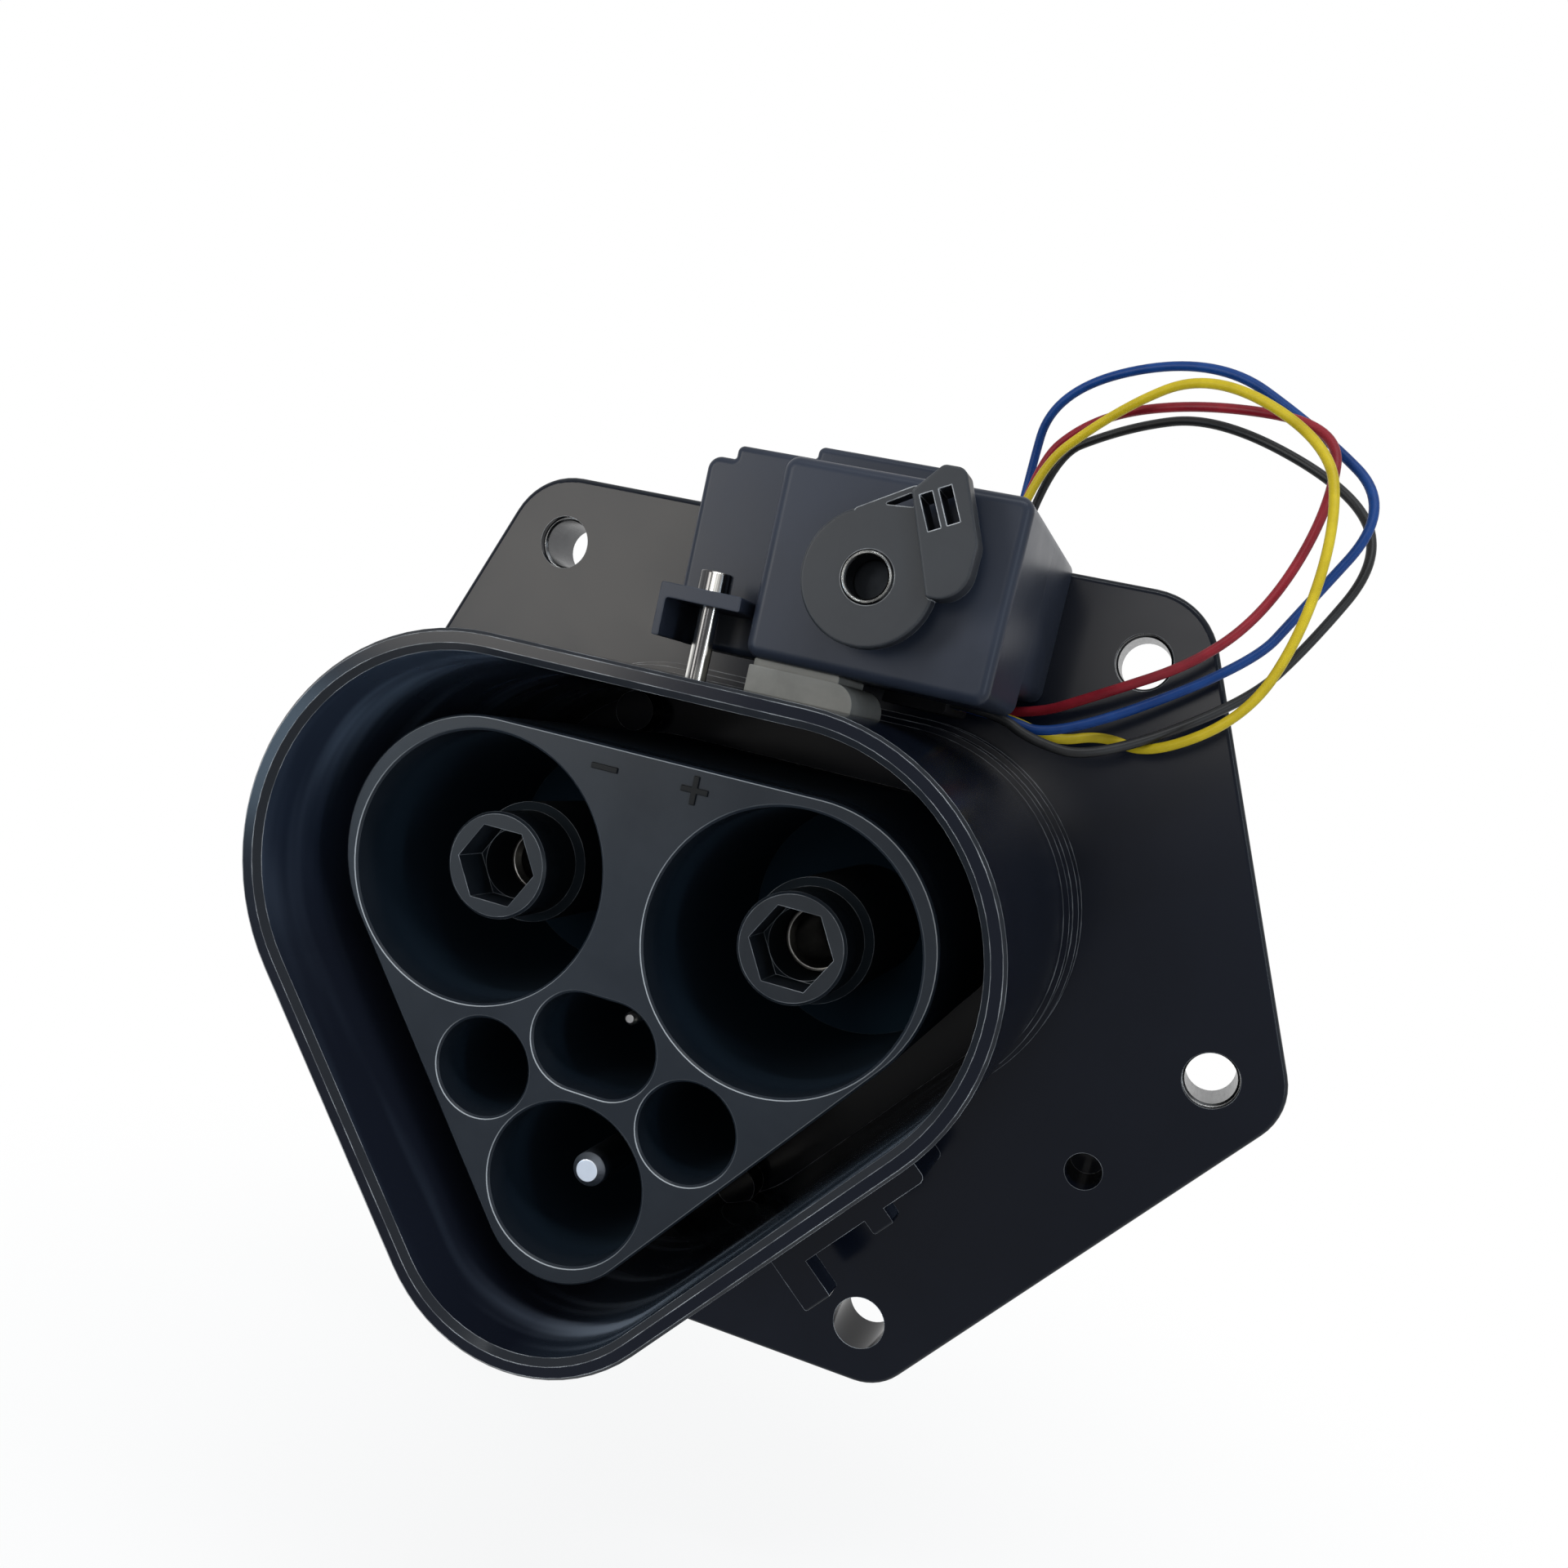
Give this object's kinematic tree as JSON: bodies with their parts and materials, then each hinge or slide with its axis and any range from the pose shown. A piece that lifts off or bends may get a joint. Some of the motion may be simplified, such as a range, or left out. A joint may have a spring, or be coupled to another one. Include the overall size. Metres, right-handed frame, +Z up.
{
  "type": "vehicle charging socket",
  "caption": "Charging inlet with a rounded-triangular shroud on a bolted flange, recessed power, earth and signal contacts, and a motor lock with a hand release lever and loose wires.",
  "frame": {"origin": "on the flange's rear mounting plane, level with the two power contacts and midway between them", "axes": "+Z up, the mouth faces -Y, +X to the right as seen from the mouth"},
  "size_m": [0.146, 0.0876, 0.1468],
  "materials": {
    "housing_black": "black glass-filled plastic, semi-gloss",
    "block_grey": "dark bluish grey matte plastic",
    "post_black": "black plastic, satin",
    "contact_silver": "silver-plated brass, bright",
    "pin_chrome": "bright plated",
    "bush_steel": "turned and zinc plated",
    "case_grey": "dark bluish grey plastic, fine texture",
    "lever_black": "black plastic, satin gloss",
    "screw_chrome": "bright plated screw",
    "screw_steel": "zinc-plated screw",
    "seal_grey": "pale grey soft seal",
    "gasket_rubber": "black rubber",
    "motor_steel": "drawn can",
    "gearbox_plastic": "natural plastic",
    "board_green": "coated board",
    "switch_plastic": "black plastic",
    "plug_natural": "natural plastic",
    "wire_red": "wire insulation",
    "wire_blue": "wire insulation",
    "wire_yellow": "wire insulation",
    "wire_black": "wire insulation"
  },
  "bodies": {
    "base": {"housing": "housing_black", "flange_bushes": "bush_steel", "contact_block": "block_grey", "contact_carrier": "block_grey", "block_gasket": "gasket_rubber", "contact_retainer": "post_black", "block_screws": "screw_steel", "retainer_screws": "screw_steel", "power_post_left": "post_black", "power_post_right": "post_black", "power_contact_left": "contact_silver", "power_contact_right": "contact_silver", "earth_contact": "pin_chrome", "signal_pins": "contact_silver", "actuator_housing": "case_grey", "actuator_cover": "case_grey", "cover_screws": "screw_steel", "actuator_screws": "screw_steel", "ear_screw": "screw_chrome", "shaft_bearing": "bush_steel", "lock_seal": "seal_grey", "drive_gearbox": "gearbox_plastic", "drive_motor": "motor_steel", "gearbox_screws": "screw_steel", "end_switch": "switch_plastic", "control_board": "board_green", "wire_grommet": "gasket_rubber", "harness_plug": "plug_natural", "wire_yellow": "wire_yellow", "wire_red": "wire_red", "wire_blue": "wire_blue", "wire_black": "wire_black"},
    "lever": {"release_lever": "lever_black", "lever_bush": "bush_steel", "output_shaft": "screw_steel"},
    "lock": {"lock_pin": "screw_steel"}
  },
  "joints": [
    {"name": "release", "type": "hinge", "parent": "base", "child": "lever", "pos_m": [0.01625, -0.05, 0.0386], "axis": [0, -1, 0], "range_deg": [0, 78]},
    {"name": "lock_travel", "type": "slide", "parent": "base", "child": "lock", "axis": [0, 0, -1], "range_m": [0, 0.00545]}
  ],
  "couplings": [
    {"joint": "release", "follows": "lock_travel", "rad_per_m": 250}
  ]
}
